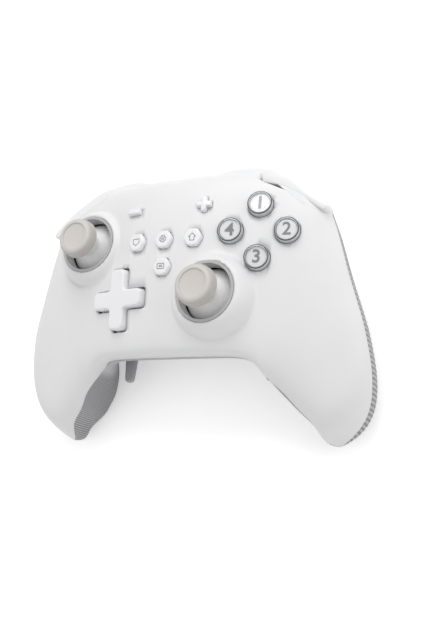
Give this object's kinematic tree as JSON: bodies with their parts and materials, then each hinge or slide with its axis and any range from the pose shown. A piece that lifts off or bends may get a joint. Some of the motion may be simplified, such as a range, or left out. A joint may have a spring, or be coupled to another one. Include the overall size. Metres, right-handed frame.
{
  "type": "gamepad controller",
  "caption": "Two-handed game controller with thumb sticks, cross pad, face buttons, bumpers, triggers and rear paddles that all move in a screwed two-part housing.",
  "frame": {"origin": "middle of the underside of the part's box", "axes": "+X to the player's right, +Y to the bumpers, +Z out of the face"},
  "size_m": [0.1532, 0.1068, 0.06],
  "materials": {
    "shell_white": "satin",
    "rear_white": "satin",
    "grip_grey": "ribbed",
    "ring_grey": "satin",
    "cap_rubber": "matt",
    "dome_white": "satin",
    "inner_plastic": "matt",
    "steel": "satin",
    "button_white": "gloss",
    "lens_clear": "clear",
    "pad_white": "satin",
    "bumper_pale": "gloss",
    "trigger_grey": "gloss",
    "board_green": "lacquered",
    "silicone": "matt",
    "battery_wrap": "film"
  },
  "bodies": {
    "housing": {"front_shell": "shell_white", "rear_shell": "rear_white", "left_grip_cover": "grip_grey", "right_grip_cover": "grip_grey", "left_trigger_pin": "steel", "right_trigger_pin": "steel", "dpad_base": "inner_plastic", "main_board": "board_green", "upper_board": "board_green", "face_button_mat": "silicone", "dpad_mat": "silicone", "menu_button_mat": "silicone", "battery": "battery_wrap", "usb_socket": "steel", "left_motor": "steel", "right_motor": "steel", "housing_screws": "steel", "left_stick_ring": "ring_grey", "left_stick_base": "steel", "left_stick_switch": "inner_plastic", "right_stick_ring": "ring_grey", "right_stick_base": "steel", "right_stick_switch": "inner_plastic"},
    "left_stick_rocker": {"left_stick_gimbal": "inner_plastic"},
    "left_stick": {"left_stick_dome": "dome_white"},
    "left_stick_top": {"left_stick_stem": "steel", "left_stick_cap": "cap_rubber"},
    "right_stick_rocker": {"right_stick_gimbal": "inner_plastic"},
    "right_stick": {"right_stick_dome": "dome_white"},
    "right_stick_top": {"right_stick_stem": "steel", "right_stick_cap": "cap_rubber"},
    "dpad_rocker": {"dpad_rocker": "inner_plastic"},
    "dpad": {"dpad": "pad_white"},
    "face_button_top": {"face_button_top": "button_white", "face_button_top_lens": "lens_clear"},
    "face_button_right": {"face_button_right": "button_white", "face_button_right_lens": "lens_clear"},
    "face_button_bottom": {"face_button_bottom": "button_white", "face_button_bottom_lens": "lens_clear"},
    "face_button_left": {"face_button_left": "button_white", "face_button_left_lens": "lens_clear"},
    "left_menu_button": {"left_menu_button": "button_white"},
    "settings_button": {"settings_button": "button_white"},
    "right_menu_button": {"right_menu_button": "button_white"},
    "lower_menu_button": {"lower_menu_button": "button_white"},
    "minus_button": {"minus_button": "button_white"},
    "plus_button": {"plus_button": "button_white"},
    "left_bumper": {"left_bumper": "bumper_pale"},
    "left_trigger": {"left_trigger": "trigger_grey"},
    "left_paddle": {"left_paddle": "trigger_grey"},
    "left_motor_weight": {"left_motor_weight": "steel"},
    "right_bumper": {"right_bumper": "bumper_pale"},
    "right_trigger": {"right_trigger": "trigger_grey"},
    "right_paddle": {"right_paddle": "trigger_grey"},
    "right_motor_weight": {"right_motor_weight": "steel"}
  },
  "joints": [
    {"name": "left_stick_tilt_back_forth", "type": "hinge", "parent": "housing", "child": "left_stick_rocker", "pos_m": [-0.03725, 0.0219, 0.03531], "axis": [1, 0, 0], "range_deg": [-14, 14], "stiffness_Nm_per_rad": 0.06},
    {"name": "left_stick_tilt_sideways", "type": "hinge", "parent": "left_stick_rocker", "child": "left_stick", "pos_m": [-0.03725, 0.0219, 0.03531], "axis": [0, 1, 0], "range_deg": [-14, 14], "stiffness_Nm_per_rad": 0.06},
    {"name": "left_stick_click", "type": "slide", "parent": "left_stick", "child": "left_stick_top", "axis": [0, 0, 1], "range_m": [-0.0005, 0], "stiffness_N_per_m": 1500, "springref_m": 0.0004},
    {"name": "right_stick_tilt_back_forth", "type": "hinge", "parent": "housing", "child": "right_stick_rocker", "pos_m": [0.0199, -0.0024, 0.03716], "axis": [1, 0, 0], "range_deg": [-14, 14], "stiffness_Nm_per_rad": 0.06},
    {"name": "right_stick_tilt_sideways", "type": "hinge", "parent": "right_stick_rocker", "child": "right_stick", "pos_m": [0.0199, -0.0024, 0.03716], "axis": [0, 1, 0], "range_deg": [-14, 14], "stiffness_Nm_per_rad": 0.06},
    {"name": "right_stick_click", "type": "slide", "parent": "right_stick", "child": "right_stick_top", "axis": [0, 0, 1], "range_m": [-0.0005, 0], "stiffness_N_per_m": 1500, "springref_m": 0.0004},
    {"name": "dpad_up_down", "type": "hinge", "parent": "housing", "child": "dpad_rocker", "pos_m": [-0.01884, -0.00178, 0.03958], "axis": [0.9861, 0, 0.1662], "range_deg": [-3.3, 3.3], "stiffness_Nm_per_rad": 0.08},
    {"name": "dpad_left_right", "type": "hinge", "parent": "dpad_rocker", "child": "dpad", "pos_m": [-0.01884, -0.00178, 0.03958], "axis": [-0.0162, 0.9952, 0.0962], "range_deg": [-3.3, 3.3], "stiffness_Nm_per_rad": 0.08},
    {"name": "face_button_top_press", "type": "slide", "parent": "housing", "child": "face_button_top", "axis": [0.1834, 0.0566, 0.9814], "range_m": [-0.001, 0], "stiffness_N_per_m": 600, "springref_m": 0.0005},
    {"name": "face_button_right_press", "type": "slide", "parent": "housing", "child": "face_button_right", "axis": [0.2264, -0.0193, 0.9738], "range_m": [-0.001, 0], "stiffness_N_per_m": 600, "springref_m": 0.0005},
    {"name": "face_button_bottom_press", "type": "slide", "parent": "housing", "child": "face_button_bottom", "axis": [0.2004, -0.0458, 0.9786], "range_m": [-0.001, 0], "stiffness_N_per_m": 600, "springref_m": 0.0005},
    {"name": "face_button_left_press", "type": "slide", "parent": "housing", "child": "face_button_left", "axis": [0.2128, -0.0163, 0.977], "range_m": [-0.001, 0], "stiffness_N_per_m": 600, "springref_m": 0.0005},
    {"name": "left_menu_button_press", "type": "slide", "parent": "housing", "child": "left_menu_button", "axis": [-0.1089, -0.0246, 0.9938], "range_m": [-0.0005, 0], "stiffness_N_per_m": 1200, "springref_m": 0.0003},
    {"name": "settings_button_press", "type": "slide", "parent": "housing", "child": "settings_button", "axis": [0, -0.0224, 0.9997], "range_m": [-0.0005, 0], "stiffness_N_per_m": 1200, "springref_m": 0.0003},
    {"name": "right_menu_button_press", "type": "slide", "parent": "housing", "child": "right_menu_button", "axis": [0.1089, -0.0246, 0.9938], "range_m": [-0.0005, 0], "stiffness_N_per_m": 1200, "springref_m": 0.0003},
    {"name": "lower_menu_button_press", "type": "slide", "parent": "housing", "child": "lower_menu_button", "axis": [0, -0.0624, 0.9981], "range_m": [-0.0005, 0], "stiffness_N_per_m": 1200, "springref_m": 0.0003},
    {"name": "minus_button_press", "type": "slide", "parent": "housing", "child": "minus_button", "axis": [-0.1263, 0.0723, 0.9894], "range_m": [-0.0005, 0], "stiffness_N_per_m": 1200, "springref_m": 0.0003},
    {"name": "plus_button_press", "type": "slide", "parent": "housing", "child": "plus_button", "axis": [0.1263, 0.0723, 0.9894], "range_m": [-0.0005, 0], "stiffness_N_per_m": 1200, "springref_m": 0.0003},
    {"name": "left_bumper_press", "type": "hinge", "parent": "housing", "child": "left_bumper", "pos_m": [-0.0175, 0.0469, 0.03576], "axis": [0, 0, -1], "range_deg": [-1.8, 0], "stiffness_Nm_per_rad": 1.5, "springref_deg": 0.86},
    {"name": "left_trigger_pull", "type": "hinge", "parent": "housing", "child": "left_trigger", "pos_m": [-0.03518, 0.03993, 0.02541], "axis": [0.9703, 0.2419, 0], "range_deg": [-10, 0], "stiffness_Nm_per_rad": 0.15, "springref_deg": 5.73},
    {"name": "left_paddle_press", "type": "hinge", "parent": "housing", "child": "left_paddle", "pos_m": [-0.0327, 0.0037, 0.01251], "axis": [1, 0, 0], "range_deg": [-4, 0], "stiffness_Nm_per_rad": 0.2, "springref_deg": 2.86},
    {"name": "left_motor_spin", "type": "hinge", "parent": "housing", "child": "left_motor_weight", "pos_m": [-0.057, -0.0308, 0.01561], "axis": [0, 1, 0], "continuous": true},
    {"name": "right_bumper_press", "type": "hinge", "parent": "housing", "child": "right_bumper", "pos_m": [0.0175, 0.0469, 0.03576], "axis": [0, 0, 1], "range_deg": [-1.8, 0], "stiffness_Nm_per_rad": 1.5, "springref_deg": 0.86},
    {"name": "right_trigger_pull", "type": "hinge", "parent": "housing", "child": "right_trigger", "pos_m": [0.03518, 0.03993, 0.02541], "axis": [0.9703, -0.2419, 0], "range_deg": [-10, 0], "stiffness_Nm_per_rad": 0.15, "springref_deg": 5.73},
    {"name": "right_paddle_press", "type": "hinge", "parent": "housing", "child": "right_paddle", "pos_m": [0.0327, 0.0037, 0.01251], "axis": [1, 0, 0], "range_deg": [-4, 0], "stiffness_Nm_per_rad": 0.2, "springref_deg": 2.86},
    {"name": "right_motor_spin", "type": "hinge", "parent": "housing", "child": "right_motor_weight", "pos_m": [0.057, -0.0308, 0.01561], "axis": [0, 1, 0], "continuous": true}
  ]
}
